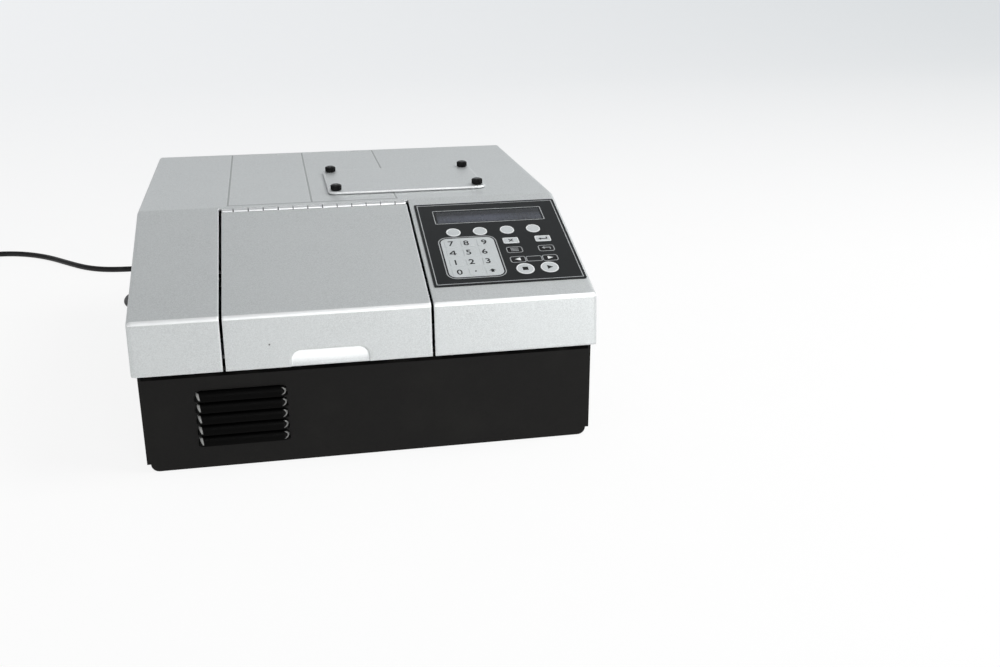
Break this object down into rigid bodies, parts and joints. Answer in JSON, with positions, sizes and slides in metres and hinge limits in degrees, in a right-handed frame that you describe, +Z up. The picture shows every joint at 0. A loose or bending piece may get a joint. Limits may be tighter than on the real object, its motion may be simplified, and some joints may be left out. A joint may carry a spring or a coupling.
{
  "type": "microplate reader",
  "caption": "Bench fluorescence microplate reader: sloped metal case with a hinged plate door, membrane keypad and display, louvred base, moving plate carrier and mains lead.",
  "frame": {"origin": "bottom centre of the instrument's box, without its mains lead: on the bench under the middle of the case", "axes": "+X to the right seen from the front, +Y to the back, +Z up"},
  "size_m": [0.774, 0.8705, 0.1913],
  "materials": {
    "silver_paint": "fine metallic texture, satin",
    "black_paint": "satin black",
    "steel": "brushed",
    "bright_pin": "polished",
    "alloy": "machined",
    "rubber": "matt",
    "overlay_grey": "fine matt film",
    "key_light": "matt",
    "key_dark": "matt",
    "display": "tinted window",
    "black_plastic": "moulded",
    "board_green": "solder mask",
    "motor": "motor body",
    "lamp_glass": "clear quartz",
    "cord_black": "lead sheath",
    "carrier_black": "black anodised"
  },
  "bodies": {
    "case": {"base_pan": "black_paint", "cord_coil": "cord_black", "cord_connector": "black_plastic", "data_ports": "black_plastic", "detector": "black_plastic", "display_window": "display", "fan_frame": "black_plastic", "front_panel": "black_paint", "hinge_frame_leaf": "steel", "hinge_pin": "bright_pin", "keypad_overlay": "overlay_grey", "lamp_bulb": "lamp_glass", "lamp_house": "alloy", "main_board": "board_green", "mains_cord": "cord_black", "mains_plug": "black_plastic", "optics_deck": "alloy", "power_inlet": "black_plastic", "power_supply": "board_green", "probe_plate": "silver_paint", "rear_panel": "black_paint", "rubber_feet": "rubber", "stepper_motors": "motor", "thumbscrews": "black_plastic", "top_cover": "silver_paint", "top_panel_left": "silver_paint", "top_panel_right": "silver_paint", "y_rails": "steel"},
    "door": {"door_skin": "silver_paint", "door_hinge_leaf": "steel"},
    "carriage": {"y_carriage": "alloy"},
    "carrier": {"plate_carrier": "carrier_black"},
    "rocker": {"power_rocker": "black_plastic"},
    "excitation_filters": {"excitation_wheel": "alloy"},
    "emission_filters": {"emission_wheel": "alloy"},
    "fan": {"fan_rotor": "black_plastic"},
    "clear_key_pad": {"clear_key": "key_light"},
    "enter_key_pad": {"enter_key": "key_light"},
    "key_0_pad": {"key_0": "key_light"},
    "key_1_pad": {"key_1": "key_light"},
    "key_2_pad": {"key_2": "key_light"},
    "key_3_pad": {"key_3": "key_light"},
    "key_4_pad": {"key_4": "key_light"},
    "key_5_pad": {"key_5": "key_light"},
    "key_6_pad": {"key_6": "key_light"},
    "key_7_pad": {"key_7": "key_light"},
    "key_8_pad": {"key_8": "key_light"},
    "key_9_pad": {"key_9": "key_light"},
    "key_point_pad": {"key_point": "key_light"},
    "key_shift_pad": {"key_shift": "key_light"},
    "left_key_pad": {"left_key": "key_dark"},
    "menu_key_pad": {"menu_key": "key_dark"},
    "previous_key_pad": {"previous_key": "key_dark"},
    "read_key_pad": {"read_key": "key_light"},
    "right_key_pad": {"right_key": "key_dark"},
    "soft_key_1_pad": {"soft_key_1": "key_light"},
    "soft_key_2_pad": {"soft_key_2": "key_light"},
    "soft_key_3_pad": {"soft_key_3": "key_light"},
    "soft_key_4_pad": {"soft_key_4": "key_light"},
    "stop_key_pad": {"stop_key": "key_light"}
  },
  "joints": [
    {"name": "door_hinge", "type": "hinge", "parent": "case", "child": "door", "pos_m": [-0.03395, -0.05332, 0.17948], "axis": [-1, 0, 0], "range_deg": [0, 105]},
    {"name": "carriage_slide", "type": "slide", "parent": "case", "child": "carriage", "axis": [0, 1, 0], "range_m": [0, 0.19]},
    {"name": "carrier_slide", "type": "slide", "parent": "carriage", "child": "carrier", "axis": [1, 0, 0], "range_m": [-0.05, 0.05]},
    {"name": "power_rocker_tilt", "type": "hinge", "parent": "case", "child": "rocker", "pos_m": [-0.02, 0.2015, 0.04], "axis": [1, 0, 0], "range_deg": [-20, 0]},
    {"name": "excitation_wheel_spin", "type": "hinge", "parent": "case", "child": "excitation_filters", "pos_m": [-0.07395, 0.102, 0.1465], "axis": [0, 1, 0], "continuous": true},
    {"name": "emission_wheel_spin", "type": "hinge", "parent": "case", "child": "emission_filters", "pos_m": [0.00605, 0.102, 0.1465], "axis": [0, 1, 0], "continuous": true},
    {"name": "fan_spin", "type": "hinge", "parent": "case", "child": "fan", "pos_m": [0.12, 0.19, 0.046], "axis": [0, 1, 0], "continuous": true},
    {"name": "clear_key_press", "type": "slide", "parent": "case", "child": "clear_key_pad", "axis": [0, 0.3126, -0.9499], "range_m": [0, 0.0003], "stiffness_N_per_m": 400},
    {"name": "enter_key_press", "type": "slide", "parent": "case", "child": "enter_key_pad", "axis": [0, 0.3126, -0.9499], "range_m": [0, 0.0003], "stiffness_N_per_m": 400},
    {"name": "key_0_press", "type": "slide", "parent": "case", "child": "key_0_pad", "axis": [0, 0.3126, -0.9499], "range_m": [0, 0.0003], "stiffness_N_per_m": 400},
    {"name": "key_1_press", "type": "slide", "parent": "case", "child": "key_1_pad", "axis": [0, 0.3126, -0.9499], "range_m": [0, 0.0003], "stiffness_N_per_m": 400},
    {"name": "key_2_press", "type": "slide", "parent": "case", "child": "key_2_pad", "axis": [0, 0.3126, -0.9499], "range_m": [0, 0.0003], "stiffness_N_per_m": 400},
    {"name": "key_3_press", "type": "slide", "parent": "case", "child": "key_3_pad", "axis": [0, 0.3126, -0.9499], "range_m": [0, 0.0003], "stiffness_N_per_m": 400},
    {"name": "key_4_press", "type": "slide", "parent": "case", "child": "key_4_pad", "axis": [0, 0.3126, -0.9499], "range_m": [0, 0.0003], "stiffness_N_per_m": 400},
    {"name": "key_5_press", "type": "slide", "parent": "case", "child": "key_5_pad", "axis": [0, 0.3126, -0.9499], "range_m": [0, 0.0003], "stiffness_N_per_m": 400},
    {"name": "key_6_press", "type": "slide", "parent": "case", "child": "key_6_pad", "axis": [0, 0.3126, -0.9499], "range_m": [0, 0.0003], "stiffness_N_per_m": 400},
    {"name": "key_7_press", "type": "slide", "parent": "case", "child": "key_7_pad", "axis": [0, 0.3126, -0.9499], "range_m": [0, 0.0003], "stiffness_N_per_m": 400},
    {"name": "key_8_press", "type": "slide", "parent": "case", "child": "key_8_pad", "axis": [0, 0.3126, -0.9499], "range_m": [0, 0.0003], "stiffness_N_per_m": 400},
    {"name": "key_9_press", "type": "slide", "parent": "case", "child": "key_9_pad", "axis": [0, 0.3126, -0.9499], "range_m": [0, 0.0003], "stiffness_N_per_m": 400},
    {"name": "key_point_press", "type": "slide", "parent": "case", "child": "key_point_pad", "axis": [0, 0.3126, -0.9499], "range_m": [0, 0.0003], "stiffness_N_per_m": 400},
    {"name": "key_shift_press", "type": "slide", "parent": "case", "child": "key_shift_pad", "axis": [0, 0.3126, -0.9499], "range_m": [0, 0.0003], "stiffness_N_per_m": 400},
    {"name": "left_key_press", "type": "slide", "parent": "case", "child": "left_key_pad", "axis": [0, 0.3126, -0.9499], "range_m": [0, 0.0003], "stiffness_N_per_m": 400},
    {"name": "menu_key_press", "type": "slide", "parent": "case", "child": "menu_key_pad", "axis": [0, 0.3126, -0.9499], "range_m": [0, 0.0003], "stiffness_N_per_m": 400},
    {"name": "previous_key_press", "type": "slide", "parent": "case", "child": "previous_key_pad", "axis": [0, 0.3126, -0.9499], "range_m": [0, 0.0003], "stiffness_N_per_m": 400},
    {"name": "read_key_press", "type": "slide", "parent": "case", "child": "read_key_pad", "axis": [0, 0.3126, -0.9499], "range_m": [0, 0.0003], "stiffness_N_per_m": 400},
    {"name": "right_key_press", "type": "slide", "parent": "case", "child": "right_key_pad", "axis": [0, 0.3126, -0.9499], "range_m": [0, 0.0003], "stiffness_N_per_m": 400},
    {"name": "soft_key_1_press", "type": "slide", "parent": "case", "child": "soft_key_1_pad", "axis": [0, 0.3126, -0.9499], "range_m": [0, 0.0003], "stiffness_N_per_m": 400},
    {"name": "soft_key_2_press", "type": "slide", "parent": "case", "child": "soft_key_2_pad", "axis": [0, 0.3126, -0.9499], "range_m": [0, 0.0003], "stiffness_N_per_m": 400},
    {"name": "soft_key_3_press", "type": "slide", "parent": "case", "child": "soft_key_3_pad", "axis": [0, 0.3126, -0.9499], "range_m": [0, 0.0003], "stiffness_N_per_m": 400},
    {"name": "soft_key_4_press", "type": "slide", "parent": "case", "child": "soft_key_4_pad", "axis": [0, 0.3126, -0.9499], "range_m": [0, 0.0003], "stiffness_N_per_m": 400},
    {"name": "stop_key_press", "type": "slide", "parent": "case", "child": "stop_key_pad", "axis": [0, 0.3126, -0.9499], "range_m": [0, 0.0003], "stiffness_N_per_m": 400}
  ]
}
